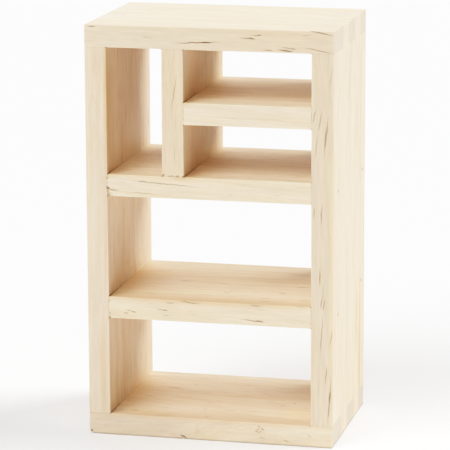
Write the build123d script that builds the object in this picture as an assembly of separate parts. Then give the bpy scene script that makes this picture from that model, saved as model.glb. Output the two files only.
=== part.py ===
from build123d import *
import os

# Miniature open bookcase in plain pine, about 1:12 scale, with two full shelves, a divider and a short
# shelf. The corners are comb joints. The shelves and the divider butt against their neighbours, held by
# glue and headless pins.
# Frame: millimetres, +Z up, origin at the middle of the base. The front faces -Y, and +X is to the right
# of someone who looks at the front.

# Outside size
WIDTH = 90.0
DEPTH = 60.0
HEIGHT = 150.0
BOARD = 7.9             # sanded stock, the same for every board

# Clear sizes of the bays
BOTTOM_BAY = 35.8       # height below the lower shelf
MIDDLE_BAY = 37.0       # height between the two full shelves
LEFT_BAY = 20.2         # width to the left of the divider

# Comb joints. Counted from 0 at the front, the top and bottom boards own the even fingers and the sides
# own the odd ones. The front finger takes what the others leave of the depth.
FINGER_COUNT = 5
FINGER = 10.8
FIRST_FINGER = DEPTH - (FINGER_COUNT - 1) * FINGER
LID_FINGERS = range(0, FINGER_COUNT, 2)
SIDE_FINGERS = range(1, FINGER_COUNT, 2)

# Every outside edge, and every rim of a bay, is eased by sanding after the glue has set
EASED = 0.3

# Headless pins
PIN_RADIUS = 0.32
PIN_LENGTH = 18.0
PIN_TIP_LENGTH = 1.2
PIN_TIP_RADIUS = 0.1
PIN_SET = 0.4           # how far the head lies below the surface

# The pins of a pair, as (distance from the front, offset from the middle of the board's thickness)
EVEN_PAIR = ((9.3, 0.0), (53.5, 0.0))
RIGHT_UPPER_PAIR = ((9.1, -0.5), (55.6, -1.4))      # driven by eye, a little low
RIGHT_LOWER_PAIR = ((9.3, -0.4), (53.5, 1.9))       # the back one is high

# Planes worked out from the sizes above
LEFT = -WIDTH / 2
RIGHT = WIDTH / 2
FRONT = -DEPTH / 2
BACK = DEPTH / 2
INNER_LEFT = LEFT + BOARD
INNER_RIGHT = RIGHT - BOARD
FLOOR = BOARD
LOWER_SHELF_UNDER = FLOOR + BOTTOM_BAY
LOWER_SHELF_TOP = LOWER_SHELF_UNDER + BOARD
UPPER_SHELF_UNDER = LOWER_SHELF_TOP + MIDDLE_BAY
UPPER_SHELF_TOP = UPPER_SHELF_UNDER + BOARD
CEILING = HEIGHT - BOARD
DIVIDER_LEFT = INNER_LEFT + LEFT_BAY
DIVIDER_RIGHT = DIVIDER_LEFT + BOARD
SHORT_SHELF_UNDER = (UPPER_SHELF_TOP + CEILING - BOARD) / 2
SHORT_SHELF_TOP = SHORT_SHELF_UNDER + BOARD


def slab(left, right, under, top, front=FRONT, back=BACK):
    """A closed box between six planes, the full depth of the bookcase unless told otherwise."""
    box = Box(right - left, back - front, top - under, align=(Align.MIN, Align.MIN, Align.MIN))
    return Pos(left, front, under) * box


def finger_blocks(indices):
    """The space of each of these fingers at all four corners."""
    blocks = []
    for index in indices:
        back = FRONT + FIRST_FINGER + index * FINGER
        front = FRONT if index == 0 else back - FINGER
        for left, right in ((LEFT, INNER_LEFT), (INNER_RIGHT, RIGHT)):
            for under, top in ((0, FLOOR), (CEILING, HEIGHT)):
                blocks.append(slab(left, right, under, top, front, back))
    return blocks


def glued_up():
    """The whole bookcase as one body, with its edges eased, from which each board is taken."""
    bays = [
        slab(INNER_LEFT, INNER_RIGHT, FLOOR, LOWER_SHELF_UNDER),
        slab(INNER_LEFT, INNER_RIGHT, LOWER_SHELF_TOP, UPPER_SHELF_UNDER),
        slab(INNER_LEFT, DIVIDER_LEFT, UPPER_SHELF_TOP, CEILING),
        slab(DIVIDER_RIGHT, INNER_RIGHT, UPPER_SHELF_TOP, SHORT_SHELF_UNDER),
        slab(DIVIDER_RIGHT, INNER_RIGHT, SHORT_SHELF_TOP, CEILING),
    ]
    body = slab(LEFT, RIGHT, 0, HEIGHT) - bays
    rims = [edge for edge in body.edges() if abs(edge.center().Y) > BACK - EASED]
    corners = [edge for edge in body.edges().filter_by(Axis.Y) if abs(edge.center().X) > RIGHT - EASED]
    return fillet(rims + corners, EASED)


def board_blanks():
    """Each board's own space, by the board's name."""
    return {
        "top_board": slab(LEFT, RIGHT, CEILING, HEIGHT) - finger_blocks(SIDE_FINGERS),
        "bottom_board": slab(LEFT, RIGHT, 0, FLOOR) - finger_blocks(SIDE_FINGERS),
        "left_side": slab(LEFT, INNER_LEFT, 0, HEIGHT) - finger_blocks(LID_FINGERS),
        "right_side": slab(INNER_RIGHT, RIGHT, 0, HEIGHT) - finger_blocks(LID_FINGERS),
        "lower_shelf": slab(INNER_LEFT, INNER_RIGHT, LOWER_SHELF_UNDER, LOWER_SHELF_TOP),
        "upper_shelf": slab(INNER_LEFT, INNER_RIGHT, UPPER_SHELF_UNDER, UPPER_SHELF_TOP),
        "divider": slab(DIVIDER_LEFT, DIVIDER_RIGHT, UPPER_SHELF_TOP, CEILING),
        "short_shelf": slab(DIVIDER_RIGHT, INNER_RIGHT, SHORT_SHELF_UNDER, SHORT_SHELF_TOP),
    }


def pin_mouth(surface, middle, direction, from_front, offset):
    """The plane of the mouth of a pin's hole, with its normal along the pin.

    surface is the plane that the pin is driven through, across X or Z as direction says, and middle is
    the middle of the thickness of the board that the pin holds.
    """
    y = FRONT + from_front
    if direction.Z:
        return Plane((middle + offset, y, surface), z_dir=direction)
    return Plane((surface, y, middle + offset), z_dir=direction)


def pin(mouth, start):
    """A round pin with a tapered point. It begins at start, counted along the hole from its mouth."""
    taper = PIN_SET + PIN_LENGTH - PIN_TIP_LENGTH
    shank = extrude(mouth.offset(start) * Circle(PIN_RADIUS), taper - start)
    point = Cone(PIN_RADIUS, PIN_TIP_RADIUS, PIN_TIP_LENGTH, align=(Align.CENTER, Align.CENTER, Align.MIN))
    return shank + mouth.offset(taper) * point


def pin_mouths():
    """The mouth planes of each pair of pins, by the pair's name."""
    rightwards = Vector(1, 0, 0)
    leftwards = Vector(-1, 0, 0)
    upwards = Vector(0, 0, 1)
    half = BOARD / 2
    pairs = {
        "pins_right_upper": (RIGHT, UPPER_SHELF_UNDER + half, leftwards, RIGHT_UPPER_PAIR),
        "pins_right_lower": (RIGHT, LOWER_SHELF_UNDER + half, leftwards, RIGHT_LOWER_PAIR),
        "pins_left_upper": (LEFT, UPPER_SHELF_UNDER + half, rightwards, EVEN_PAIR),
        "pins_left_lower": (LEFT, LOWER_SHELF_UNDER + half, rightwards, EVEN_PAIR),
        "pins_divider_foot": (UPPER_SHELF_UNDER, DIVIDER_LEFT + half, upwards, EVEN_PAIR),
        "pins_short_shelf": (DIVIDER_LEFT, SHORT_SHELF_UNDER + half, rightwards, EVEN_PAIR),
    }
    mouths = {}
    for name, (surface, middle, direction, pair) in pairs.items():
        mouths[name] = [pin_mouth(surface, middle, direction, *place) for place in pair]
    return mouths


def build():
    """Every sub-part, by its node's name."""
    parts = {}
    holes = []
    for name, mouths in pin_mouths().items():
        parts[name] = Compound(children=[pin(mouth, PIN_SET) for mouth in mouths])
        holes += [pin(mouth, -PIN_SET) for mouth in mouths]
    body = glued_up()
    for name, blank in board_blanks().items():
        parts[name] = (body & blank) - holes
    return parts


os.makedirs("parts", exist_ok=True)
for node, shape in build().items():
    export_step(shape, f"parts/{node}.step")
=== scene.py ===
import itertools
import math

import bpy
import numpy as np
from mathutils import Matrix, Vector


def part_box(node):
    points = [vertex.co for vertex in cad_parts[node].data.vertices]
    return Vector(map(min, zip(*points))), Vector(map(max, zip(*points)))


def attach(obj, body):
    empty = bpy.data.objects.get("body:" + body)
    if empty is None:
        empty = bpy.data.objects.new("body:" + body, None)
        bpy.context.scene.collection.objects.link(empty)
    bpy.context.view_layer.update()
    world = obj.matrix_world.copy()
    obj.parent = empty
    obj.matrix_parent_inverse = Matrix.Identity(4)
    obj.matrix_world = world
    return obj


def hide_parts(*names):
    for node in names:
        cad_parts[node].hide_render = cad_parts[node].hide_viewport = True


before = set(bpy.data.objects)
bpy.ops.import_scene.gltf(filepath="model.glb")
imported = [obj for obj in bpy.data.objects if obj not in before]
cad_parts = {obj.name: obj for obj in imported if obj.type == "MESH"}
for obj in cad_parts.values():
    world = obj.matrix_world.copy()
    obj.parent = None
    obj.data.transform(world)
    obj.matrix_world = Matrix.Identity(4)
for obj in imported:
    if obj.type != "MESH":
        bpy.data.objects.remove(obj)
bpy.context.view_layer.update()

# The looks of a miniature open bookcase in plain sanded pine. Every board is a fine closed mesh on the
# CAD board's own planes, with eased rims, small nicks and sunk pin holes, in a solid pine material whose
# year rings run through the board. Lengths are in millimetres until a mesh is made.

MM = 0.001
X, Y, Z = range(3)
ON_PLANE = 1e-4         # two places closer than this are the same plane


# ---- the frame, read from the CAD nodes

def span(node):
    """A CAD node's lowest and highest corner."""
    low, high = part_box(node)
    return np.round(np.array(low) / MM, 3), np.round(np.array(high) / MM, 3)


BOARDS = (
    "top_board", "bottom_board", "left_side", "right_side",
    "upper_shelf", "lower_shelf", "divider", "short_shelf",
)
BOX = {name: span(name) for name in BOARDS}
OUTER_LOW = np.min([BOX[name][0] for name in BOARDS], axis=0)
OUTER_HIGH = np.max([BOX[name][1] for name in BOARDS], axis=0)
FRONT, BACK = OUTER_LOW[Y], OUTER_HIGH[Y]
INNER_LEFT, INNER_RIGHT = BOX["left_side"][1][X], BOX["right_side"][0][X]
FLOOR, CEILING = BOX["bottom_board"][1][Z], BOX["top_board"][0][Z]
DIVIDER_LEFT, DIVIDER_RIGHT = BOX["divider"][0][X], BOX["divider"][1][X]

# The bays, as (left, right, under, top)
BAYS = (
    (INNER_LEFT, INNER_RIGHT, FLOOR, BOX["lower_shelf"][0][Z]),
    (INNER_LEFT, INNER_RIGHT, BOX["lower_shelf"][1][Z], BOX["upper_shelf"][0][Z]),
    (INNER_LEFT, DIVIDER_LEFT, BOX["upper_shelf"][1][Z], CEILING),
    (DIVIDER_RIGHT, INNER_RIGHT, BOX["upper_shelf"][1][Z], BOX["short_shelf"][0][Z]),
    (DIVIDER_RIGHT, INNER_RIGHT, BOX["short_shelf"][1][Z], CEILING),
)

# Comb joints, as in the CAD source: the lids own the even fingers, counted from the front
FINGER_COUNT = 5
FINGER = 10.8
FINGER_EDGES = [FRONT] + [BACK - FINGER * (FINGER_COUNT - 1 - i) for i in range(FINGER_COUNT)]
LIDS = ("top_board", "bottom_board")
SIDES = ("left_side", "right_side")

# Where each pair of pins is driven in: the board that holds its mouths, the axis and the way out
PIN_MOUTHS = {
    "pins_right_upper": ("right_side", X, 1),
    "pins_right_lower": ("right_side", X, 1),
    "pins_left_upper": ("left_side", X, -1),
    "pins_left_lower": ("left_side", X, -1),
    "pins_divider_foot": ("upper_shelf", Z, -1),
    "pins_short_shelf": ("divider", X, -1),
}


def pin_middles(node):
    """The middle of each of a pair's two pins."""
    points = np.array([vertex.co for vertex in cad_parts[node].data.vertices]) / MM
    halves = (points[points[:, Y] < 0], points[points[:, Y] > 0])
    return [(half.min(axis=0) + half.max(axis=0)) / 2 for half in halves]


# ---- noise for shapes

LATTICE = 48            # the random numbers repeat after this many lumps


def lumps(points, size, seed):
    """Smooth noise from -1 to 1 at each point, with lumps of this size, one number or one for each axis."""
    lattice = np.random.default_rng(seed).uniform(-1, 1, (LATTICE,) * 3)
    place = points / np.array(size)
    cell = np.floor(place).astype(int)
    part = place - cell
    part = part * part * (3 - 2 * part)
    total = np.zeros(len(points))
    for corner in itertools.product((0, 1), repeat=3):
        weight = np.prod(np.where(corner, part, 1 - part), axis=1)
        i, j, k = ((cell + corner) % LATTICE).T
        total += weight * lattice[i, j, k]
    return total


def uneven(points, values, seed):
    """A smoothly varying value for each point. values holds its middle, its change and the lumps' size."""
    middle, change, size = values
    return middle + change * lumps(points, size, seed)


def smooth_step(values, start, end):
    """0 before start, 1 after end, smooth between. start may be above end."""
    t = np.clip((values - start) / (end - start), 0, 1)
    return t * t * (3 - 2 * t)


# ---- board meshes

EDGE_LINES = (0.0, 0.05, 0.11, 0.18, 0.26, 0.36, 0.5, 0.8)      # grid lines beside an edge
BROAD_STEP = 1.1        # grid lines elsewhere along a board
THIN_STEP = 0.7         # and through its thickness
THIN = 10.0             # a board's thickness is below this, and its other sizes are above it
PIN_LINES = (0.0, 0.14, 0.27, 0.36, 0.44, 0.6)                  # grid lines beside a pin's middle
MOUTH_DEPTH = 0.62      # how far a pin's mouth is sunk in
PIT_EDGE, PIT_REACH = 0.40, 0.85        # where the darkening round a mouth starts to fade, and where it ends

# The radius of an eased edge, as its middle, its change and the size of its lumps: between two boards, on the
# outside and on a bay's rim. Then a nick's strength in the same form, and the seeds.
JOINT_EASE = (0.035, 0.03, 4.0)
OUTSIDE_EASE = (0.17, 0.09, 7.0)
RIM_EASE = (0.18, 0.12, 6.0)
NICK_STRENGTH = (0.8, 0.35, 0.8)
OUTSIDE_SEED, RIM_SEED, NICK_SEED = 50, 51, 77

# How a mark fades from one vertex to the next
RIM_FADES = (1, 1, 0.9, 0.6, 0.3)
SEAM_FADES = (0.8, 0.5, 0.3)

# Chips and dents on the front: x, z, half sizes, and how far the wood is pushed at the middle. A chip reaches
# full depth close to its border, and a dent only at its middle.
CHIP = 0.75
DENT = 0.15
NICKS = {
    "top_board": (
        (-41.9, 149.8, (1.9, 0.8, 0.6), (0, 0.16, -0.06), DENT),
    ),
    "bottom_board": (
        (-45, 0, (1.9, 1.9, 1.9), (0.5, 0.4, 0.45), DENT),
        (-9.9, 0.3, (1.7, 0.9, 1.1), (0, 0.4, 0.2), DENT),
        (28.1, 1.8, (1.2, 0.5, 0.6), (0, 0.12, 0), DENT),
        (36.5, 4.4, (1.2, 0.5, 0.9), (0, 0.1, 0), DENT),
    ),
    "upper_shelf": (
        (INNER_LEFT, 88.6, (2.3, 2.5, 2.4), (0, 0.9, 0), CHIP),
        (INNER_LEFT, 91.7, (0.7, 0.8, 0.5), (0.3, 0.4, 0), DENT),
        (INNER_LEFT, 95.3, (0.6, 0.8, 0.5), (0.25, 0.35, 0), DENT),
        (INNER_LEFT, 96.5, (0.9, 0.8, 0.7), (0, 0.3, -0.2), DENT),
    ),
    "lower_shelf": (
        (-16, 51.6, (2.2, 0.8, 0.7), (0, 0.22, -0.22), DENT),
        (-9, 51.6, (2.6, 0.8, 0.7), (0, 0.22, -0.25), DENT),
        (-3.5, 51.6, (1.4, 0.8, 0.6), (0, 0.2, -0.22), DENT),
        (18.5, 51.6, (2.2, 0.8, 0.7), (0, 0.22, -0.25), DENT),
        (33.5, 51.6, (1.8, 0.8, 0.7), (0, 0.25, -0.25), DENT),
        (18.3, 45.2, (1.7, 0.5, 0.5), (0, 0.2, 0), DENT),
        (INNER_LEFT, 43.9, (1, 0.8, 0.7), (0.2, 0.35, 0), DENT),
        (INNER_LEFT, 50, (0.6, 0.8, 0.5), (0.25, 0.35, 0), DENT),
    ),
    "divider": (
        (DIVIDER_LEFT, 96.5, (1.2, 1.2, 1.3), (0.35, 0.45, 0), DENT),
        (DIVIDER_RIGHT, 96.5, (1, 1.2, 1.1), (-0.35, 0.45, 0), DENT),
        (-13.9, 96.5, (0.6, 0.6, 0.4), (0, 0.3, 0.1), DENT),
        (-12.2, 96.5, (0.5, 0.6, 0.4), (0, 0.3, 0.1), DENT),
        (-10.8, 96.5, (0.5, 0.6, 0.4), (0, 0.3, 0.1), DENT),
        (DIVIDER_LEFT, 131, (0.5, 0.5, 1.6), (0.12, 0.12, 0), DENT),
    ),
    "right_side": (
        (45, 17.5, (0.6, 0.6, 2.6), (-0.2, 0.2, 0), DENT),
        (INNER_RIGHT, 120, (0.5, 0.5, 2.4), (0.12, 0.12, 0), DENT),
    ),
    "left_side": (
        (INNER_LEFT, 95, (0.5, 0.6, 1.4), (-0.16, 0.16, 0), DENT),
        (INNER_LEFT, 60, (0.4, 0.5, 3), (-0.1, 0.1, 0), DENT),
        (-45, 60, (0.5, 0.5, 2.2), (0.12, 0.12, 0), DENT),
    ),
}
NICK_STEPS = 5          # grid lines on each side of a nick's middle


def on_front(rows):
    """The rows of a table that start with x and z, with the middle on the front instead."""
    return [((x, FRONT, z), *rest) for x, z, *rest in rows]


def grid_lines(low, high, step, edges=(), pins=()):
    """Grid lines from low to high, closer together beside its ends, the given edges and the pins."""
    stops = sorted({low, high, *edges})
    lines = set()
    for start, end in zip(stops, stops[1:]):
        near = [line for line in EDGE_LINES if line < (end - start) / 2]
        count = max(1, math.ceil((end - start - 2 * near[-1]) / step))
        lines.update(start + line for line in near)
        lines.update(end - line for line in near)
        lines.update(np.linspace(start + near[-1], end - near[-1], count + 1))
    for pin in pins:
        lines = {line for line in lines if abs(line - pin) > PIN_LINES[-1] + PIN_LINES[1]}
        lines.update(pin + line for line in PIN_LINES)
        lines.update(pin - line for line in PIN_LINES)
    lines = np.array(sorted(lines))
    return lines[np.append(True, np.diff(lines) > ON_PLANE)]


def with_lines(lines, extra):
    """The grid lines and the extra ones that aren't close to one of them already."""
    gap = 0.04
    far = [line for line in extra if np.abs(lines - line).min() > gap]
    return np.sort(np.append(lines, far))


def block_quads(filled):
    """The quads between filled and empty cells of a grid, as corner numbers, and the axis each one faces."""
    shape = np.array(filled.shape) + 1
    strides = np.array([shape[1] * shape[2], shape[2], 1])
    padded = np.pad(filled, 1)
    quads, axes = [], []
    for axis in range(3):
        side_a, side_b = strides[(axis + 1) % 3], strides[(axis + 2) % 3]
        loop = np.array([0, side_a, side_a + side_b, side_b])
        for high in (0, 1):
            beyond = np.roll(padded, -1 if high else 1, axis)[1:-1, 1:-1, 1:-1]
            first = np.argwhere(filled & ~beyond) @ strides + high * strides[axis]
            quads.append(first[:, None] + (loop if high else loop[::-1]))
            axes.append(np.full(len(first), axis))
    return np.concatenate(quads), np.concatenate(axes)


def board_fill(name, lines):
    """Which cells of the grid are wood. A comb board has none where the other board's fingers are."""
    middles = [(line[1:] + line[:-1]) / 2 for line in lines]
    x, y, z = np.meshgrid(*middles, indexing="ij")
    finger = np.searchsorted(FINGER_EDGES, y) - 1
    if name in LIDS:
        ends = (x < INNER_LEFT) | (x > INNER_RIGHT)
        return ~(ends & (finger % 2 == 1))
    if name in SIDES:
        ends = (z < FLOOR) | (z > CEILING)
        return ~(ends & (finger % 2 == 0))
    return np.full(x.shape, True)


def own_space(name, points):
    """For each point, the low and high corner of the board or finger that it belongs to."""
    low, high = (np.tile(corner, (len(points), 1)) for corner in BOX[name])
    if name not in LIDS + SIDES:
        return low, high
    along, inner = (X, (INNER_LEFT, INNER_RIGHT)) if name in LIDS else (Z, (FLOOR, CEILING))
    owned = 0 if name in LIDS else 1
    on_finger = (points[:, along] < inner[0] - ON_PLANE) | (points[:, along] > inner[1] + ON_PLANE)
    for index in range(owned, FINGER_COUNT, 2):
        start, end = FINGER_EDGES[index], FINGER_EDGES[index + 1]
        here = on_finger & (points[:, Y] > start - ON_PLANE) & (points[:, Y] < end + ON_PLANE)
        low[here, Y] = start
        high[here, Y] = end
    return low, high


def round_box(points, low, high, radius):
    """The points of a box with its edges rounded to this radius, one for each point."""
    radius = radius[:, None]
    middle = np.clip(points, low + radius, high - radius)
    away = points - middle
    length = np.linalg.norm(away, axis=1, keepdims=True)
    return middle + away * np.minimum(1, radius / np.maximum(length, ON_PLANE))


def round_rims(points, radius):
    """The points with the front and back rims of every bay rounded to this radius."""
    points = points.copy()
    for left, right, under, top in BAYS:
        into = np.stack([left - points[:, X], points[:, X] - right,
                         under - points[:, Z], points[:, Z] - top])
        side = into.argmax(axis=0)
        depth = into.max(axis=0)
        for face, inward in ((FRONT, 1), (BACK, -1)):
            behind = np.abs(points[:, Y] - face)
            across = radius - depth
            along = radius - behind
            length = np.hypot(across, along)
            near = (across > 0) & (along > 0) & (length > radius) & (depth > -ON_PLANE)
            share = np.where(near, radius / np.maximum(length, ON_PLANE), 1)
            points[:, Y] += inward * along * (1 - share)
            move = across * (1 - share)
            for number, (axis, way) in enumerate(((X, -1), (X, 1), (Z, -1), (Z, 1))):
                chosen = near & (side == number)
                points[chosen, axis] += way * move[chosen]
    return points


def sink_pins(points, mouths):
    """Pushes in a round mouth for each pin. mouths holds (axis, way out, surface, middle)."""
    for axis, outward, surface, middle in mouths:
        across = [other for other in range(3) if other != axis]
        offset = points[:, across] - middle[across]
        square = np.abs(offset).max(axis=1)
        circle = np.linalg.norm(offset, axis=1)
        here = (np.abs(points[:, axis] - surface) < ON_PLANE) & (square < PIN_LINES[-1] - ON_PLANE)
        share = np.where(square < PIN_LINES[-2] - ON_PLANE, square / np.maximum(circle, ON_PLANE), 1)
        points[np.ix_(here, across)] = middle[across] + offset[here] * share[here, None]
        inside = here & (square < PIN_LINES[2] + ON_PLANE)
        points[inside, axis] -= outward * MOUTH_DEPTH


def press_nicks(points, rest, nicks):
    """Pushes the wood in at each nick."""
    for middle, size, push, edge in nicks:
        distance = (np.abs(rest - middle) / size).sum(axis=1)
        depth = smooth_step(distance, 1.0, edge) * uneven(rest, NICK_STRENGTH, NICK_SEED)
        points += depth[:, None] * np.array(push)


def exposed(centres):
    """Whether each quad is on the outside or on a bay's wall, and not against another board."""
    found = (np.abs(centres - OUTER_LOW) < ON_PLANE).any(axis=1)
    found |= (np.abs(centres - OUTER_HIGH) < ON_PLANE).any(axis=1)
    for left, right, under, top in BAYS:
        x, z = centres[:, X], centres[:, Z]
        wide = (x > left - ON_PLANE) & (x < right + ON_PLANE)
        found |= wide & (z > under - ON_PLANE) & (z < top + ON_PLANE)
    return found


def spread(marks, quads, fades):
    """Lets each vertex's mark reach its neighbours, weaker by each of these factors in turn."""
    starts = quads.ravel()
    ends = np.roll(quads, -1, axis=1).ravel()
    for fade in fades:
        wider = marks.copy()
        np.maximum.at(wider, starts, marks[ends] * fade)
        np.maximum.at(wider, ends, marks[starts] * fade)
        marks = wider
    return marks


def vertex_marks(quads, axes, points):
    """How near each vertex is to an eased rim and to a glued seam on the outside, from 0 to 1."""
    open_quads = exposed(points[quads].mean(axis=1))
    count = len(points)
    faces_open = np.zeros((3, count), bool)
    hidden = np.zeros(count, bool)
    for axis in range(3):
        faces_open[axis, quads[open_quads & (axes == axis)].ravel()] = True
    hidden[quads[~open_quads].ravel()] = True
    outside = (np.abs(points - OUTER_LOW) < ON_PLANE) | (np.abs(points - OUTER_HIGH) < ON_PLANE)
    outside = outside.any(axis=1)
    rim = (faces_open.sum(axis=0) > 1).astype(float)
    seam = (faces_open.any(axis=0) & hidden & outside).astype(float)
    return {
        "rim": spread(rim, quads, RIM_FADES),
        "seam": spread(seam, quads, SEAM_FADES),
    }


def pit_marks(points, mouths):
    """How near each vertex is to a pin's mouth, from 0 to 1."""
    marks = np.zeros(len(points))
    for axis, _, surface, middle in mouths:
        across = [other for other in range(3) if other != axis]
        distance = np.linalg.norm(points[:, across] - middle[across], axis=1)
        near = np.abs(points[:, axis] - surface) < ON_PLANE
        marks = np.maximum(marks, near * smooth_step(distance, PIT_REACH, PIT_EDGE))
    return marks


def make_board(name):
    """The mesh object of one board, closed, with its marks as vertex attributes.

    The board is first laid out as a grid of flat quads (rest), and its vertices are then moved (points).
    """
    low, high = BOX[name]
    pins = [
        (axis, outward, BOX[name][outward > 0][axis], middle)
        for node, (board, axis, outward) in PIN_MOUTHS.items() if board == name
        for middle in pin_middles(node)
    ]
    nicks = on_front(NICKS.get(name, ()))
    lines = []
    for axis in range(3):
        edges = []
        if axis == Y and name in LIDS + SIDES:
            edges = FINGER_EDGES
        if axis == X and name in LIDS:
            edges = (INNER_LEFT, INNER_RIGHT)
        if axis == Z and name in SIDES:
            edges = (FLOOR, CEILING)
        pin_places = [middle[axis] for pin_axis, _, _, middle in pins if pin_axis != axis]
        step = THIN_STEP if high[axis] - low[axis] < THIN else BROAD_STEP
        along = grid_lines(low[axis], high[axis], step, edges, pin_places)
        for middle, size, _, _ in nicks:
            extra = np.linspace(middle[axis] - size[axis], middle[axis] + size[axis], 2 * NICK_STEPS + 1)
            along = with_lines(along, extra[(extra > low[axis]) & (extra < high[axis])])
        lines.append(along)
    quads, axes = block_quads(board_fill(name, lines))
    used, quads = np.unique(quads, return_inverse=True)
    quads = quads.reshape(-1, 4)
    corners = np.unravel_index(used, [len(line) for line in lines])
    rest = np.stack([line[index] for line, index in zip(lines, corners)], axis=1)
    marks = vertex_marks(quads, axes, rest)
    marks["pit"] = pit_marks(rest, pins)

    points = rest.copy()
    sink_pins(points, pins)
    seed = BOARDS.index(name) + 1
    own_low, own_high = own_space(name, rest)
    points = round_box(points, own_low, own_high, uneven(rest, JOINT_EASE, seed))
    points = round_box(points, OUTER_LOW, OUTER_HIGH, uneven(rest, OUTSIDE_EASE, OUTSIDE_SEED))
    points = round_rims(points, uneven(rest, RIM_EASE, RIM_SEED))
    press_nicks(points, rest, nicks)

    mesh = bpy.data.meshes.new(name + "_pine")
    mesh.from_pydata(points * MM, [], quads.tolist())
    mesh.polygons.foreach_set("use_smooth", np.full(len(quads), True))
    for label, values in marks.items():
        attribute = mesh.attributes.new(label, "FLOAT", "POINT")
        attribute.data.foreach_set("value", values.astype(np.float32))
    mesh.update()
    piece = bpy.data.objects.new(name + "_pine", mesh)
    bpy.context.scene.collection.objects.link(piece)
    return piece


# ---- pine

# Linear colours of sanded pine
PALE = (0.799, 0.663, 0.476)
WARM = (0.743, 0.578, 0.381)
ROSY = (0.794, 0.632, 0.476)
LATE_WOOD = (0.600, 0.400, 0.205)
LID_END = ((0.590, 0.490, 0.370), 0.9)          # end grain, and its share
OTHER_END = ((0.840, 0.715, 0.530), 0.7)
# Painted light, for bay walls that are in shade
PAINTED_LIGHT = (0.920, 0.820, 0.640)
RESIN = (0.150, 0.080, 0.035)
# Tan grain, and also painted shade in the bays' corners, on their walls and behind the fronts of their floors
TAN = (0.640, 0.420, 0.215)
GOLD = (0.827, 0.630, 0.362)
# Dull grain and end grain, and also painted shade on the front faces and behind the divider's rim
DULL = (0.600, 0.470, 0.340)
# Painted shade in the bays' creases, over their dark glue lines, and the darkening round pin mouths
CREASE_SHADE_AND_PIT_BROWN = (0.210, 0.110, 0.045)
# Painted contact shadow, laid along the foot where the boards meet the floor
CONTACT_SHADOW = (0.200, 0.165, 0.130)

# How each board was cut. Its grain axis, the middle of its year rings measured across the grain from the
# board's own middle, the rings' width, how far the rings lean along the board, and how strong the grain is.
# Across the grain means (y, z) on a board that lies and (x, y) on one that stands.
CUTS = {
    "top_board": (X, (14, -38), 2.3, (0.05, 0.03), 0.55),
    "bottom_board": (X, (6, -24), 2.6, (0.1, -0.06), 0.6),
    "left_side": (Z, (-9, -70), 2.1, (0, 0.03), 0.95),
    "right_side": (Z, (-46, 12), 2.9, (0.04, 0.02), 0.6),
    "upper_shelf": (X, (-20, -30), 2.2, (0.04, 0.05), 0.8),
    "lower_shelf": (X, (24, -34), 2.8, (-0.03, 0.04), 0.6),
    "divider": (Z, (22, -52), 1.9, (0.03, 0.02), 0.8),
    "short_shelf": (X, (-12, -44), 2.5, (0.02, 0.06), 0.6),
}

# How much of the red, green and blue each board gives back, next to the others
# Partly painted light: the top board's is raised for a brighter top, and the right side's lowered for a
# darker side.
TINTS = {
    "top_board": (1.05, 1.06, 1.06),
    "bottom_board": (1.02, 1.02, 1.03),
    "left_side": (1.01, 1.01, 1.04),
    "right_side": (0.96, 0.96, 0.97),
    "upper_shelf": (1.01, 1.01, 1.00),
    "lower_shelf": (1.02, 1.02, 1.01),
    "divider": (0.97, 0.94, 0.89),
    "short_shelf": (1.03, 1.04, 1.05),
}

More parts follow.
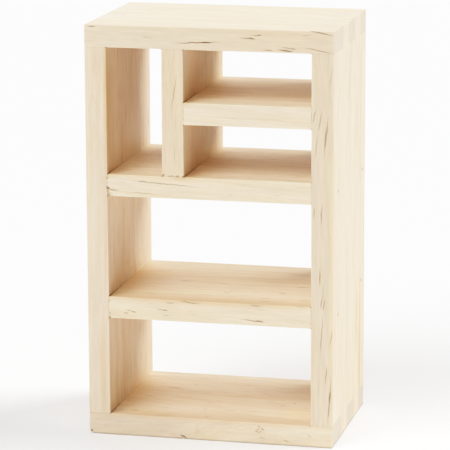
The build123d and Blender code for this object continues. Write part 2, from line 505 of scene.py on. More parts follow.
# Dark resin streaks on the front: x, z, length, width, angle in degrees and strength
FRONT_STREAKS = {
    "top_board": (
        (-4, 144.8, 17, 0.46, 3.7, 0.8),
        (-1, 145, 7, 0.56, 3, 1),
        (-22.2, 146.2, 4.2, 0.4, -9, 0.3),
        (14.3, 146.8, 5.8, 0.4, -2, 0.65),
        (15.6, 146.8, 3, 0.6, -2, 0.85),
        (17.6, 148, 4.2, 0.38, 1, 0.6),
        (18.5, 148, 2, 0.52, 1, 0.85),
        (39.9, 149.5, 10.8, 0.46, -10, 0.75),
        (35.1, 148.6, 3.8, 0.44, 2, 0.3),
        (29, 143.8, 5.6, 0.42, -6.5, 0.65),
        (30.6, 143.6, 2, 0.54, -6.5, 0.75),
        (28, 142.9, 6.2, 0.56, -4, 0.9),
        (21.7, 142.9, 3.6, 0.46, 1, 0.7),
        (39.7, 143.3, 10.8, 0.42, -10, 0.65),
        (-42, 149.5, 3.4, 0.36, 0, 0.9),
    ),
    "divider": (
        (-12.3, 127, 14.5, 0.4, -100, 0.45),
        (-12.3, 105, 9, 0.36, -88, 0.25),
        (-16.4, 97, 1.1, 0.7, 50, 0.75),
        (-14.4, 96.8, 0.8, 0.5, 0, 0.6),
        (-13.3, 96.8, 0.9, 0.55, 0, 0.7),
        (-11.2, 96.8, 1, 0.55, 0, 0.7),
    ),
    "left_side": (
        (-37.3, 94.9, 0.8, 0.5, -90, 0.45),
        (-37.2, 91.5, 1.2, 0.7, -90, 0.75),
    ),
    "right_side": (
        (38.1, 120.2, 5, 0.44, -100, 0.62),
        (40.2, 118.5, 7.6, 0.44, -98, 0.58),
        (38.9, 109.6, 9, 0.46, -96, 0.42),
        (42.4, 112.8, 16, 0.44, -96, 0.6),
        (42.1, 112.6, 9, 0.5, -95, 0.7),
        (44, 134, 10, 0.44, -95, 0.32),
        (38.2, 85.9, 4.6, 0.4, -93, 0.52),
        (40.8, 85.2, 8, 0.42, -93, 0.62),
        (40.3, 62.5, 7, 0.46, -93, 0.7),
        (41.3, 56, 9, 0.42, -94, 0.35),
        (40.9, 53.2, 4.2, 0.42, -98, 0.6),
        (41.8, 52.5, 4.8, 0.46, -98, 0.65),
        (41, 42, 16, 0.46, -93, 0.52),
        (40.8, 39, 7, 0.46, -94, 0.55),
        (44.4, 40.6, 6, 0.42, -95, 0.55),
        (42.7, 27, 7, 0.44, -96, 0.68),
        (43.9, 17.2, 17, 0.48, -94, 0.72),
        (44.1, 19.1, 5.8, 0.66, -93, 0.95),
        (40, 22.2, 9, 0.34, -92, 0.3),
    ),
    "upper_shelf": (
        (-15.6, 93.8, 26, 0.42, -3.4, 0.62),
        (-24, 94.3, 4.4, 0.5, -3.5, 0.72),
        (-23.9, 90.2, 11, 0.4, -2.2, 0.4),
        (-35.1, 90.9, 4.8, 0.54, -4.5, 0.65),
        (-36.8, 91.4, 1, 0.9, 0, 0.85),
        (-36.7, 88.9, 2.2, 0.9, -39, 0.9),
        (-36, 89.7, 1.8, 0.44, -35, 0.5),
    ),
    "lower_shelf": (
        (-29.6, 46.8, 2.4, 0.44, -5, 0.6),
        (-27.9, 46.5, 2.2, 0.5, -5, 0.8),
        (-30.7, 45.8, 2.1, 0.46, -6.6, 0.65),
        (-17.2, 47.7, 4.8, 0.42, -7, 0.62),
        (-16.3, 47.6, 2.2, 0.5, -7, 0.8),
        (-15.9, 45.7, 3.2, 0.4, 1.6, 0.38),
        (-14.5, 50.4, 3.4, 0.46, -2, 0.58),
        (-6.9, 51, 8, 0.44, -3.3, 0.62),
        (17, 51.1, 4.8, 0.46, -4, 0.62),
        (16.2, 45.5, 9.6, 0.44, -3.6, 0.7),
        (18.3, 45.4, 3.8, 0.64, -3, 0.95),
        (-36.8, 45.6, 0.9, 0.5, -90, 0.55),
        (-36.9, 44, 1.4, 0.7, -60, 0.9),
    ),
    "bottom_board": (
        (-9.8, 1.1, 2.9, 0.64, -22, 0.95),
        (18.3, 6.5, 1, 0.48, -20, 0.65),
        (19.6, 5.7, 1.6, 0.46, -38, 0.78),
        (17.5, 4.6, 2, 0.42, -19.5, 0.58),
        (17.8, 5.4, 2, 0.36, 36, 0.5),
        (18.8, 4.7, 1.4, 0.36, 42, 0.45),
        (19.3, 2.2, 2.6, 0.4, -14, 0.42),
        (28.1, 1.8, 2.4, 0.46, -22, 0.48),
        (36.5, 4.4, 2.6, 0.5, -40, 0.38),
        (-44.2, 1.1, 1.4, 0.8, 30, 0.8),
    ),
}

# The same on the right face or on a board's top, with the middle (x, y, z) first
OTHER_STREAKS = {
    "right_side": (
        ((45, 21.1, 15.4), 20, 0.6, -91, 0.35),
        ((45, -19.9, 94.6), 5, 0.34, -90, 0.35),
        ((45, -6.5, 124.3), 7, 0.3, -90, 0.3),
    ),
    "lower_shelf": (
        ((19.2, -25, 51.6), 5, 0.9, 0, 0.4),
        ((-4, -20, 51.6), 6, 1.1, 3, 0.22),
        ((-24, -22, 51.6), 5, 0.9, -2, 0.25),
        ((-15.7, -0.6, 51.6), 6, 1.2, -12, 0.32),
        ((-1.2, -1.8, 51.6), 6, 1.1, -13, 0.3),
        ((2.9, -14.9, 51.6), 3, 1.2, -10, 0.36),
        ((23, -11.9, 51.6), 3.6, 1.3, -13, 0.45),
        ((28.2, -1.6, 51.6), 5.4, 1.1, 0, 0.42),
        ((18.5, -20.8, 51.6), 6, 1, 0, 0.3),
        ((32.9, -20.7, 51.6), 4, 1, -3, 0.28),
        ((-19.1, -14.9, 51.6), 4.6, 1.1, -2, 0.28),
    ),
    "bottom_board": (
        ((-29.4, -23.8, 7.9), 3.6, 1.6, 12, 0.3),
        ((-19.3, -18.6, 7.9), 3.2, 0.9, 12, 0.35),
        ((16.6, -1.9, 7.9), 2.2, 1, 8, 0.35),
        ((21.8, -6.3, 7.9), 2.6, 1.1, 5, 0.35),
        ((25.7, -3, 7.9), 1.8, 1.1, 0, 0.42),
        ((4.6, -16.7, 7.9), 3.4, 0.8, 22, 0.4),
        ((-4.8, -16.3, 7.9), 1.5, 1, 10, 0.42),
        ((-2, -26.3, 7.9), 1.8, 0.8, 0, 0.32),
        ((-22.6, 8.2, 7.9), 7, 1.2, -7, 0.38),
        ((-16, 14.7, 7.9), 2.4, 1, -30, 0.3),
        ((-17.9, -28, 7.9), 8, 1.1, 5, 0.26),
    ),
}
STREAK_DEPTH = 1.2      # how far a streak goes into the wood
STREAK_REACH = 0.62     # half its length, with the end that fades out, next to its length
STREAK_FADE = 0.72      # half its width, with the edge that fades out, next to its width
STREAK_CORE = 0.30      # the share of that which is at full strength

# Painted crease shade over a glue line: how far it reaches, how far behind the front it fades, and how much
# is left
CREASE_WIDTH = 0.55
CREASE_FADE = 26.0
CREASE_LEFT = 0.15

# Soft patches: middle (x, y, z), half sizes along each axis, colour and strength. A patch is at full strength
# as far as PATCH_CORE times its half size, and gone at PATCH_END times it.
# Many rows are painted light and shade rather than the wood's own tone, and are marked as such.
PATCH_CORE, PATCH_END = 0.1, 1.1
PATCHES = {
    "right_side": (
        # painted shade: the whole front face darker
        ((41, FRONT, 75), (16, 1.5, 300), DULL, 0.3),
        ((45, 20, 27), (2, 10, 34), GOLD, 0.95),
        ((45, 21.2, 24), (2, 2.7, 32), TAN, 0.65),
        ((45, 21.2, 24), (2, 2.7, 32), DULL, 1),
        ((45, 14.6, 37), (2, 1.9, 19), TAN, 0.8),
        ((45, 28.5, 35), (2, 2.5, 50), DULL, 0.4),
        ((44.6, FRONT, 30), (0.7, 1.5, 36), TAN, 0.35),
        ((44.4, FRONT, 60), (0.9, 1.5, 90), GOLD, 0.7),
        ((41, FRONT, 110), (5, 1.5, 60), TAN, 0.12),
        ((40.4, FRONT, 62), (0.6, 1.5, 22), TAN, 0.28),
        ((41.9, FRONT, 24), (1.2, 1.5, 26), TAN, 0.2),
    ),
    "bottom_board": (
        ((-4.7, FRONT, 3.7), (1.6, 1.5, 2.6), TAN, 0.35),
        ((-0.8, FRONT, 1.3), (4.5, 1.5, 1.4), GOLD, 0.8),
        ((-13.1, FRONT, 1.1), (2.8, 1.5, 1.2), TAN, 0.3),
        ((18.6, FRONT, 4.8), (2.4, 2, 2), TAN, 0.22),
        # painted shade: the front face darker, most on the left
        ((-28, FRONT, 3.5), (34, 2, 12), DULL, 0.66),
        ((30, FRONT, 3.5), (34, 2, 12), DULL, 0.14),
        # painted shade: a band behind the front of the bay floor
        ((5, -29, 7.9), (90, 9, 2), TAN, 0.5),
        ((-21, -27, 7.9), (14, 3, 2), TAN, 0.35),
        ((-24, 9, 7.9), (7, 2.2, 2), TAN, 0.35),
        ((30, -17, 7.9), (9, 9, 2), GOLD, 0.6),
        ((32, 8, 7.9), (12, 10, 2), TAN, 0.2),
        # painted shade in the bay's corner by the left wall
        ((-37.1, 0, 7.9), (7.5, 26, 2), TAN, 0.65),
        ((-34, 8, 7.9), (14, 16, 2), TAN, 0.3),
    ),
    "lower_shelf": (
        # painted shade: the front face darker, then a band behind the front of the bay floor
        ((0, FRONT, 47.7), (70, 1.5, 10), DULL, 0.14),
        ((0, -29, 51.6), (90, 9, 2), TAN, 0.62),
        ((20, 6, 51.6), (16, 5, 2), TAN, 0.18),
        # painted shade in the bay's corner by the left wall
        ((-37.1, -4, 51.6), (8, 30, 2), TAN, 0.75),
        ((-34, 8, 51.6), (16, 16, 2), TAN, 0.35),
    ),
    "upper_shelf": (
        # painted shade: the front face darker, a band behind the front, the middle of the floors, and the
        # corners by the walls
        ((0, FRONT, 92.5), (70, 1.5, 10), DULL, 0.1),
        ((-27, -27, 96.5), (16, 7, 2), TAN, 0.22),
        ((20, 2, 96.5), (36, 16, 2), TAN, 0.12),
        ((-37.1, -22, 96.5), (6, 18, 2), TAN, 0.8),
        ((-9, -25, 96.5), (6.5, 13, 2), TAN, 0.85),
    ),
    "short_shelf": (
        # painted shade: the front face darker, and the corner by the divider
        ((14, FRONT, 119.3), (50, 1.5, 10), DULL, 0.2),
        ((-9, -27, 123.3), (5, 8, 2), TAN, 0.8),
    ),
    "left_side": (
        # painted shade: the front face darker, and the inner wall darker, most behind its front rim
        ((-41, FRONT, 75), (16, 1.5, 300), DULL, 0.3),
        ((-37.1, -28, 75), (1.5, 9, 140), TAN, 0.14),
        ((-37.1, -30, 122), (1.5, 15, 40), TAN, 0.98),
        ((-37.1, -9, 60), (1.5, 4, 40), TAN, 0.1),
        ((-37.1, -10, 22), (1.5, 3, 20), TAN, 0.14),
        ((-39.4, FRONT, 26), (1.9, 1.5, 26), TAN, 0.52),
        ((-38.2, FRONT, 72), (1.1, 1.5, 30), TAN, 0.4),
        ((-43.8, FRONT, 70), (0.8, 1.5, 80), GOLD, 0.5),
        # painted light on the inner wall, then painted shade along its foot by the floors
        ((-37.1, 4, 103), (1.5, 14, 18), PAINTED_LIGHT, 0.85),
        ((-37.1, 6, 24), (1.5, 16, 12), PAINTED_LIGHT, 0.35),
        ((-37.1, 6, 67), (1.5, 14, 12), PAINTED_LIGHT, 0.25),
        ((-37.1, 6, 7.9), (1.5, 16, 6), TAN, 0.6),
        ((-37.1, 6, 51.6), (1.5, 16, 5), TAN, 0.35),
    ),
    "divider": (
        # painted shade: the front face darker, and the right face darker in the upper right bay
        ((-13, FRONT, 119), (12, 1.5, 50), DULL, 0.36),
        ((-9, -14, 120), (1.5, 24, 34), TAN, 0.62),
        ((-12.5, FRONT, 128), (2.2, 1.5, 16), TAN, 0.16),
        # painted light on the right face, then painted shade behind its front rim
        ((-9, 4, 98), (1.5, 14, 8), PAINTED_LIGHT, 0.75),
        ((-9, 1, 125), (1.5, 16, 7), PAINTED_LIGHT, 0.9),
        ((-9, -28, 134), (1.5, 6, 16), DULL, 0.35),
    ),
    "top_board": (
        # painted shade: the front face darker
        ((0, FRONT, 146), (200, 1.5, 14), DULL, 0.6),
        ((22, FRONT, 146), (50, 1.5, 12), TAN, 0.16),
        ((45, -15, 146), (1.5, 3.5, 9), DULL, 0.45),
        ((45, 5.5, 146), (1.5, 5, 9), DULL, 0.55),
        ((45, 25, 146), (1.5, 5, 9), DULL, 0.3),
    ),
}


def add(tree, kind, inputs=(), **settings):
    """A new shader node. inputs maps a socket's name or number to a value, or to the socket that feeds it."""
    node = tree.nodes.new("ShaderNode" + kind)
    for label, value in settings.items():
        setattr(node, label, value)
    for label, value in dict(inputs).items():
        if isinstance(value, bpy.types.NodeSocket):
            tree.links.new(value, node.inputs[label])
        else:
            node.inputs[label].default_value = value
    return node


def calc(tree, operation, *values):
    """The result of a sum on numbers or sockets."""
    return add(tree, "Math", enumerate(values), operation=operation).outputs[0]


def product(tree, *values):
    """The product of numbers or sockets."""
    total = values[0]
    for value in values[1:]:
        total = calc(tree, "MULTIPLY", total, value)
    return total


def vector_calc(tree, operation, *values):
    """The result of a sum on vectors or sockets."""
    return add(tree, "VectorMath", enumerate(values), operation=operation).outputs[0]


def vector_length(tree, vector):
    """A vector's length."""
    return add(tree, "VectorMath", {0: vector}, operation="LENGTH").outputs["Value"]


def scaled(tree, value, scale, base):
    """value times scale, plus base. Each one is a number or a socket."""
    return calc(tree, "MULTIPLY_ADD", value, scale, base)


def shaded(tree, shade, mask, strength):
    """A shade, changed by this much where the mask is 1. The strength is a number or a socket."""
    return product(tree, shade, scaled(tree, mask, strength, 1.0))


def mixed(tree, share, first, second):
    """A colour between two, by the share of the second."""
    node = add(tree, "Mix", data_type="RGBA")
    for label, value in (("Factor_Float", share), ("A_Color", first), ("B_Color", second)):
        socket = next(s for s in node.inputs if s.identifier == label)
        if isinstance(value, bpy.types.NodeSocket):
            tree.links.new(value, socket)
        else:
            socket.default_value = value if label == "Factor_Float" else (*value, 1)
    return next(s for s in node.outputs if s.identifier == "Result_Color")


def stepped(tree, value, start, end, low=0.0, high=1.0):
    """value from start to end, turned smoothly into low to high, and held beyond."""
    inputs = {"Value": value, "From Min": start, "From Max": end, "To Min": low, "To Max": high}
    return add(tree, "MapRange", inputs, interpolation_type="SMOOTHSTEP").outputs[0]


def grain_noise(tree, place, size, detail, seed):
    """A noise node with lumps of size (along, across) the grain, moved by its seed."""
    along, across = size
    shrunk = vector_calc(tree, "MULTIPLY", place, (1 / along, 1 / across, 1 / across))
    moved = vector_calc(tree, "ADD", shrunk, (seed, seed * 1.7, seed * 2.3))
    return add(tree, "TexNoise", {"Vector": moved, "Scale": 1.0, "Detail": detail, "Roughness": 0.55})


def grain_place(tree, name, in_mm):
    """Millimetres along the grain, and across it from the middle of the year rings."""
    axis, middle, _, lean, _ = CUTS[name]
    low, high = BOX[name]
    across = (Y, Z) if axis == X else (X, Y)
    parts = add(tree, "SeparateXYZ", {0: in_mm}).outputs
    along = parts[axis]
    offsets = []
    for number, other in enumerate(across):
        centre = (low[other] + high[other]) / 2 + middle[number]
        leaned = scaled(tree, along, lean[number], -centre)
        offsets.append(calc(tree, "ADD", parts[other], leaned))
    return add(tree, "CombineXYZ", {0: along, 1: offsets[0], 2: offsets[1]}).outputs[0]


def shaken(tree, noise, reach):
    """A noise node's colour as a vector about zero, reaching this far along each axis."""
    about_zero = vector_calc(tree, "SUBTRACT", noise.outputs["Color"], (0.5,) * 3)
    return vector_calc(tree, "MULTIPLY", about_zero, reach)


# How the year rings wander: the size of the lumps along and across the grain, their detail, their seed and
# how far they move a ring
RING_BENDS = ((75.0, 20.0), 1.0, 0.0, 9.0)
RING_RIPPLES = ((16.0, 2.6), 2.0, 3.1, 0.9)
RING_CHANGE, RING_CHANGE_RATE = 1.6, 0.45       # how much a ring's width changes, and how soon
LATE_STARTS, LATE_PEAKS, LATE_ENDS = 0.30, 0.90, 0.93   # late wood, as a share of its ring
WEAKEST_RING = 0.25


def year_rings(tree, place, width, seed):
    """How far into late wood each point is, from 0 to 1."""
    warped = place
    for size, detail, shift, reach in (RING_BENDS, RING_RIPPLES):
        noise = grain_noise(tree, place, size, detail, seed + shift)
        warped = vector_calc(tree, "ADD", warped, shaken(tree, noise, (0.0, reach, reach)))
    flat = vector_calc(tree, "MULTIPLY", warped, (0.0, 1.0, 1.0))
    count = calc(tree, "DIVIDE", vector_length(tree, flat), width)
    slow_count = product(tree, count, RING_CHANGE_RATE)
    change = add(tree, "TexNoise", {"W": slow_count, "Detail": 1.0}, noise_dimensions="1D").outputs[0]
    count = scaled(tree, change, RING_CHANGE, count)
    part = calc(tree, "FRACT", count)
    rise = stepped(tree, part, LATE_STARTS, LATE_PEAKS)
    fall = stepped(tree, part, LATE_ENDS, 1.0, 1.0, 0.0)
    ring = calc(tree, "FLOOR", count)
    strength = add(tree, "TexWhiteNoise", {"W": ring}, noise_dimensions="1D").outputs["Value"]
    strength = scaled(tree, strength, 1 - WEAKEST_RING, WEAKEST_RING)
    return product(tree, rise, fall, strength)


def distance_from(tree, place, middle, size, turn=(0, 0, 0)):
    """The distance from the middle of an ellipsoid with these half sizes, which is 1 at its border."""
    inputs = {"Vector": place, "Location": middle, "Rotation": turn, "Scale": size}
    local = add(tree, "Mapping", inputs, vector_type="TEXTURE").outputs[0]
    return vector_length(tree, local)


def streak_shape(middle, length, width, angle):
    """A streak's half sizes along the axes and how it is turned, from the face that it lies on."""
    reach, fade = length * STREAK_REACH, width * STREAK_FADE
    turn = math.radians(angle)
    if middle[Y] == FRONT:
        return (reach, STREAK_DEPTH, fade), (0, -turn, 0)
    if middle[X] == OUTER_HIGH[X]:
        return (STREAK_DEPTH, reach, fade), (turn, 0, 0)
    return (reach, fade, STREAK_DEPTH), (0, 0, turn)


def streak_mask(tree, place, name):
    """How strongly each point is in one of the board's resin streaks."""
    total = 0.0
    streaks = on_front(FRONT_STREAKS.get(name, ())) + list(OTHER_STREAKS.get(name, ()))
    for middle, length, width, angle, strength in streaks:
        size, turn = streak_shape(middle, length, width, angle)
        distance = distance_from(tree, place, middle, size, turn)
        mask = stepped(tree, distance, STREAK_CORE, 1.0, strength, 0.0)
        total = calc(tree, "MAXIMUM", total, mask)
    return total


def crease_shade_mask(tree, place):
    """How near each point is to a bay's crease, from 0 to 1, weaker towards the back: painted shade over a
    glue line.
    """
    parts = add(tree, "SeparateXYZ", {0: place}).outputs
    nearest = CREASE_WIDTH
    for left, right, under, top in BAYS:
        away = 0.0
        for axis, low, high in ((X, left, right), (Z, under, top)):
            from_middle = calc(tree, "ABSOLUTE", calc(tree, "SUBTRACT", parts[axis], (low + high) / 2))
            from_wall = calc(tree, "ABSOLUTE", calc(tree, "SUBTRACT", from_middle, (high - low) / 2))
            away = calc(tree, "ADD", away, from_wall)
        nearest = calc(tree, "MINIMUM", nearest, away)
    mask = stepped(tree, nearest, 0.05, CREASE_WIDTH, 1.0, 0.0)
    fade = stepped(tree, parts[Y], FRONT, FRONT + CREASE_FADE, 1.0, CREASE_LEFT)
    return product(tree, mask, fade)


def patched(tree, place, name, colour):
    """The colour with the board's soft patches laid over it: tone and grain, and painted light and shade."""
    for middle, size, tint, strength in PATCHES.get(name, ()):
        distance = distance_from(tree, place, middle, size)
        share = stepped(tree, distance, PATCH_CORE, PATCH_END, strength, 0.0)
        colour = mixed(tree, share, colour, tint)
    return colour


# A mask's steps say where the value that it is made from starts and ends, and what the mask is there when
# that isn't 0 and 1.

# Noise along the grain: the size of its lumps along and across the grain, its detail, its seed and the steps
# of its mask. Fibres and strands have no mask.
GRAIN = {
    "patchy": ((40, 9), 1, 5, (0.3, 0.65, 0.35, 1)),    # where the year rings are strong
    "bands": ((90, 5), 2, 9, (0.32, 0.68)),             # paler and warmer bands
    "fibres": ((7, 0.36), 3, 11, None),
    "strands": ((20, 1.2), 2, 13, None),
    "canals": ((4, 0.42), 1, 17, (0.62, 0.74)),         # short brown resin canals
    "crowded": ((18, 7), 1, 19, (0.42, 0.62, 0.25, 1)), # where the canals crowd
    "rosy": ((60, 4), 1, 23, (0.4, 0.65, 0, 0.7)),      # pinker bands
    "dashes": ((11, 1.8), 2, 29, (0.54, 0.7)),          # broader dark dashes
}
BOARD_SEED = 7.3        # a board's seed is its number times this
SANDED = (0.5, 3.0)     # the front's dashes are sanded off, and come back this far behind it
BAY_SKIN = (1.0, 3.0)   # the bays are sanded less, as far as this beyond their outermost walls
BAY_CANALS = 1.1        # how much stronger the canals are there

# Noise that is the same in every direction: its scale, in lumps to a millimetre, and its detail
JITTER = (0.45, 1.0)
BLOTCHES = (0.9, 2.0)
PORES = (4.0, 3.0)
JITTER_REACH = 0.6      # how far it moves the border of a streak or a crease

# Steps of the surface's masks
END_STEPS = (0.6, 0.9)                      # from how far a face is turned along the grain
STREAK_STEPS = (0.25, 0.6, 0.7, 1.0)        # from the fibres
CREASE_STEPS = (0.35, 0.62, 0.35, 0.85)     # from the blotches
SEAM_STEPS = (0.56, 0.66)                   # from the blotches
CONTACT_SHADOW_STEPS = (0.05, 0.80, 0.70, 0.0)        # from the height
UNDER_STEPS = (-0.95, -0.50)                # from how far a face is turned up
PIT_DARKENING = 0.75

# How the masks change the colour. The first three are shares of late wood where the grain's contrast is 1.
LATE_SHARE, CANAL_SHARE, DASH_SHARE = 0.5, 0.7, 0.4
DASH_LEAST = 0.05
END_LATE = 0.5          # how much stronger late wood is on end grain
WORN_RIM = 0.08         # how much paler a rim is
SHADES = {"fibres": (0.26, 0.87), "strands": (0.24, 0.88)}      # scale and base of each
PORE_SHADE = (0.24, -0.14)
SEAM_SHADE = (-0.45, -0.11)

# How the masks change the roughness and, from that of the fibres, the height of the surface
ROUGHNESS = 0.54
ROUGHER = {"fibres": 0.16, "late": -0.08, "rim": 0.08, "streaks": -0.15}
HIGHER = {"late": 0.35, "canals": -0.6, "streaks": -0.9, "open_pores": 0.8}
BUMP_STRENGTH, BUMP_DEPTH = 0.5, 0.03
SHEEN = 0.35            # the shader's specular level


def even_noise(tree, place, kind):
    """A noise node that is the same in every direction."""
    scale, detail = kind
    return add(tree, "TexNoise", {"Vector": place, "Scale": scale, "Detail": detail})


def grain_masks(tree, name, in_mm):
    """How each kind of grain runs through a board, by its name, from 0 to 1."""
    seed = BOARD_SEED * (BOARDS.index(name) + 1)
    place = grain_place(tree, name, in_mm)
    masks = {}
    for label, (size, detail, shift, steps) in GRAIN.items():
        noise = grain_noise(tree, place, size, detail, seed + shift).outputs[0]
        masks[label] = stepped(tree, noise, *steps) if steps else noise
    parts = add(tree, "SeparateXYZ", {0: in_mm}).outputs
    behind_front = stepped(tree, parts[Y], FRONT + SANDED[0], FRONT + SANDED[1])
    in_bays = behind_front
    for out, wall in ((calc(tree, "ABSOLUTE", parts[X]), INNER_RIGHT), (parts[Z], CEILING)):
        within = stepped(tree, out, wall + BAY_SKIN[0], wall + BAY_SKIN[1], 1.0, 0.0)
        in_bays = product(tree, in_bays, within)
    late = year_rings(tree, place, CUTS[name][2], seed)
    masks["late"] = product(tree, late, masks["patchy"])
    masks["canals"] = product(tree, masks["canals"], masks["crowded"])
    masks["canals"] = shaded(tree, masks["canals"], in_bays, BAY_CANALS)
    masks["dashes"] = product(tree, masks["dashes"], behind_front)
    return masks


def surface_masks(tree, name, in_mm, fibres):
    """Where a board is end grain, streaked, worn, dark round a pin or in painted shade, by name, from 0 to 1.
    """
    masks = {
        label: add(tree, "Attribute", attribute_name=label).outputs["Fac"] for label in ("rim", "seam", "pit")
    }
    normal = add(tree, "SeparateXYZ", {0: add(tree, "TexCoord").outputs["Normal"]}).outputs
    along_grain = calc(tree, "ABSOLUTE", normal[CUTS[name][0]])
    masks["end_grain"] = stepped(tree, along_grain, *END_STEPS)
    masks["pores"] = even_noise(tree, in_mm, PORES).outputs[0]
    masks["open_pores"] = product(tree, masks["pores"], masks["end_grain"])

    jitter = shaken(tree, even_noise(tree, in_mm, JITTER), (JITTER_REACH,) * 3)
    uneven_place = vector_calc(tree, "ADD", in_mm, jitter)
    streaks = streak_mask(tree, uneven_place, name)
    masks["streaks"] = product(tree, streaks, stepped(tree, fibres, *STREAK_STEPS))

    blotches = even_noise(tree, in_mm, BLOTCHES).outputs[0]
    crease = crease_shade_mask(tree, uneven_place)
    crease = product(tree, crease, stepped(tree, blotches, *CREASE_STEPS))
    # Painted shade in the creases, and the darkening round each pin's mouth
    masks["crease_shade_and_pits"] = calc(tree, "MAXIMUM", product(tree, masks["pit"], PIT_DARKENING), crease)
    masks["seam_shade"] = scaled(tree, stepped(tree, blotches, *SEAM_STEPS), *SEAM_SHADE)

    # Painted contact shadow: darker up to 0.8 mm above the floor, but not on faces that look down
    height = add(tree, "SeparateXYZ", {0: in_mm}).outputs[Z]
    near_floor = stepped(tree, height, *CONTACT_SHADOW_STEPS)
    not_underneath = stepped(tree, normal[Z], *UNDER_STEPS)
    masks["contact_shadow"] = product(tree, near_floor, not_underneath)
    return masks


def pine_colour(tree, name, in_mm, masks):
    """A board's colour."""
    contrast = CUTS[name][4]
    end_grain = masks["end_grain"]
    colour = mixed(tree, masks["rosy"], mixed(tree, masks["bands"], PALE, WARM), ROSY)
    late = product(tree, masks["late"], LATE_SHARE * contrast)
    canals = product(tree, masks["canals"], CANAL_SHARE * contrast)
    dashes = product(tree, masks["dashes"], DASH_SHARE * contrast + DASH_LEAST)
    for share in (shaded(tree, late, end_grain, END_LATE), canals, dashes):
        colour = mixed(tree, share, colour, LATE_WOOD)
    end_colour, end_share = LID_END if name in LIDS else OTHER_END
    colour = mixed(tree, product(tree, end_grain, end_share), colour, end_colour)
    colour = patched(tree, in_mm, name, colour)
    colour = vector_calc(tree, "MULTIPLY", colour, TINTS[name])

    shade = 1.0
    for label, (scale, base) in SHADES.items():
        shade = product(tree, shade, scaled(tree, masks[label], scale, base))
    shade = shaded(tree, shade, scaled(tree, masks["pores"], *PORE_SHADE), end_grain)
    shade = shaded(tree, shade, masks["seam"], masks["seam_shade"])
    shade = shaded(tree, shade, masks["rim"], WORN_RIM)
    colour = add(tree, "VectorMath", {0: colour, "Scale": shade}, operation="SCALE").outputs[0]
    # Painted crease shade with the darkening round pins, painted contact shadow, then resin streaks
    for label, dark in (("crease_shade_and_pits", CREASE_SHADE_AND_PIT_BROWN), ("contact_shadow", CONTACT_SHADOW), ("streaks", RESIN)):
        colour = mixed(tree, masks[label], colour, dark)
    return colour


def new_material(name):
    """A new material, with its node tree and its shader."""
    material = bpy.data.materials.new(name)
    material.use_nodes = True
    tree = material.node_tree
    return material, tree, tree.nodes["Principled BSDF"]


def place_in_mm(tree):
    """Each point's place on its piece, in millimetres."""
    return vector_calc(tree, "MULTIPLY", add(tree, "TexCoord").outputs["Object"], (1 / MM,) * 3)


def pine_material(name):
    """Solid pine for one board, with its year rings, fibres, end grain, streaks, worn rims and seams."""
    material, tree, shader = new_material(name + "_pine")
    in_mm = place_in_mm(tree)
    masks = grain_masks(tree, name, in_mm)
    masks.update(surface_masks(tree, name, in_mm, masks["fibres"]))

    rough, height = ROUGHNESS, masks["fibres"]
    for label, change in ROUGHER.items():
        rough = scaled(tree, masks[label], change, rough)
    for label, change in HIGHER.items():
        height = scaled(tree, masks[label], change, height)
    inputs = {"Strength": BUMP_STRENGTH, "Distance": BUMP_DEPTH * MM, "Height": height}
    bump = add(tree, "Bump", inputs).outputs[0]

    tree.links.new(pine_colour(tree, name, in_mm, masks), shader.inputs["Base Color"])
    tree.links.new(rough, shader.inputs["Roughness"])
    tree.links.new(bump, shader.inputs["Normal"])
    shader.inputs["Specular IOR Level"].default_value = SHEEN
    return material


# Steel: its two colours, and the noise of its tarnish and its scratches
BRIGHT = (0.56, 0.55, 0.53)
TARNISHED = (0.30, 0.25, 0.20)
TARNISH = (2.5, 4.0)
SCRATCHES = (14.0, 2.0)


def pin_steel():
    """Bright drawn wire, with fine scratches and a little tarnish."""
    material, tree, shader = new_material("pin_steel")
    in_mm = place_in_mm(tree)
    tarnish = even_noise(tree, in_mm, TARNISH).outputs[0]
    scratches = even_noise(tree, in_mm, SCRATCHES).outputs[0]
    colour = mixed(tree, stepped(tree, tarnish, 0.45, 0.75), BRIGHT, TARNISHED)
    shader.inputs["Metallic"].default_value = 1.0
    tree.links.new(colour, shader.inputs["Base Color"])
    tree.links.new(scaled(tree, tarnish, 0.35, 0.18), shader.inputs["Roughness"])
    bump = add(tree, "Bump", {"Strength": 0.4, "Distance": 0.01 * MM, "Height": scratches}).outputs[0]
    tree.links.new(bump, shader.inputs["Normal"])
    return material


# ---- floor, lights, camera and tone

def make_floor():
    """A plain pale floor. It glows a little, as on a light table, so that its shadow stays pale."""
    mesh = bpy.data.meshes.new("floor")
    half = 6.0
    corners = [(-half, -half, 0), (half, -half, 0), (half, half, 0), (-half, half, 0)]
    mesh.from_pydata(corners, [], [(0, 1, 2, 3)])
    floor = bpy.data.objects.new("floor", mesh)
    bpy.context.scene.collection.objects.link(floor)
    material, _, shader = new_material("floor")
    shader.inputs["Base Color"].default_value = (0.97, 0.97, 0.97, 1)
    shader.inputs["Roughness"].default_value = 0.9
    shader.inputs["Specular IOR Level"].default_value = 0.1
    shader.inputs["Emission Color"].default_value = (1, 1, 1, 1)
    shader.inputs["Emission Strength"].default_value = 0.05
    mesh.materials.append(material)


# Soft suns: where each shines from, as azimuth from the front towards +X and elevation, its strength and
# how wide it is, in degrees
SUNS = {
    "right_back": (115, 40, 4.35, 40),
    "front_left": (-40, 40, 2.75, 40),
    "front_high": (10, 52, 1.10, 40),
    "behind": (195, 28, 0.92, 40),
}


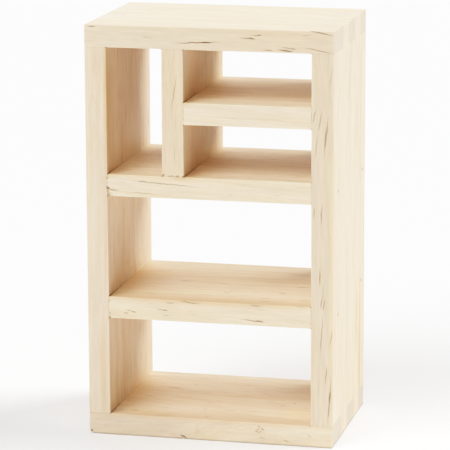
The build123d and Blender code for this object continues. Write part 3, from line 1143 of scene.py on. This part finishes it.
def make_lights():
    """The suns, and a faint even light from all round."""
    world = bpy.data.worlds.new("studio")
    world.use_nodes = True
    background = world.node_tree.nodes["Background"]
    background.inputs["Color"].default_value = (1, 1, 1, 1)
    background.inputs["Strength"].default_value = 0.02
    bpy.context.scene.world = world
    bpy.context.scene.cycles.diffuse_bounces = 8    # the bays are lit by what the pale wood passes on
    for name, (azimuth, elevation, strength, width) in SUNS.items():
        around, up = math.radians(azimuth), math.radians(elevation)
        towards = Vector((math.sin(around) * math.cos(up), -math.cos(around) * math.cos(up), math.sin(up)))
        light = bpy.data.lights.new(name, "SUN")
        light.energy = strength
        light.angle = math.radians(width)
        lamp = bpy.data.objects.new(name, light)
        lamp.rotation_mode = "QUATERNION"
        lamp.rotation_quaternion = towards.to_track_quat("Z", "Y")
        bpy.context.scene.collection.objects.link(lamp)


# The camera: its place in metres, its yaw, pitch down and roll in degrees, and its lens in millimetres
CAMERA_PLACE = (0.22830, -0.95602, 0.28813)
CAMERA_ANGLES = (13.50, 12.33, -0.23)
LENS = 220.24


def make_camera():
    """The camera that stands where the photo was taken from."""
    data = bpy.data.cameras.new("camera")
    data.sensor_width = 36.0
    data.lens = LENS
    data.clip_start = 0.05
    data.clip_end = 50.0
    camera = bpy.data.objects.new("camera", data)
    yaw, pitch, roll = (math.radians(angle) for angle in CAMERA_ANGLES)
    camera.matrix_world = (
        Matrix.Translation(CAMERA_PLACE)
        @ Matrix.Rotation(yaw, 4, "Z")
        @ Matrix.Rotation(math.pi / 2 - pitch, 4, "X")
        @ Matrix.Rotation(roll, 4, "Z")
    )
    bpy.context.scene.collection.objects.link(camera)
    bpy.context.scene.camera = camera


def set_tone():
    """A soft shoulder and toe, as on film. The light x shows as (1 - exp(-steepness x)) to the power toe,
    scaled to reach 1 at the brightest light."""
    settings = bpy.context.scene.view_settings
    settings.view_transform = "Standard"
    settings.use_curve_mapping = True
    mapping = settings.curve_mapping
    brightest = 2.1
    steepness = 1.5
    toe = 1.4
    full = 1 - math.exp(-steepness * brightest)
    mapping.white_level = (brightest,) * 3
    curve = mapping.curves[3]
    steps = 16
    places = [
        (i / steps, ((1 - math.exp(-steepness * brightest * i / steps)) / full) ** toe)
        for i in range(steps + 1)
    ]
    curve.points[0].location = places[0]
    curve.points[-1].location = places[-1]
    for place in places[1:-1]:
        curve.points.new(*place)
    mapping.update()


for board in BOARDS:
    piece = make_board(board)
    piece.data.materials.append(pine_material(board))
    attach(piece, "root")
    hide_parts(board)

steel = pin_steel()
for pins in PIN_MOUTHS:
    for material_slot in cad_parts[pins].material_slots:
        material_slot.material = steel

make_floor()
make_lights()
make_camera()
set_tone()
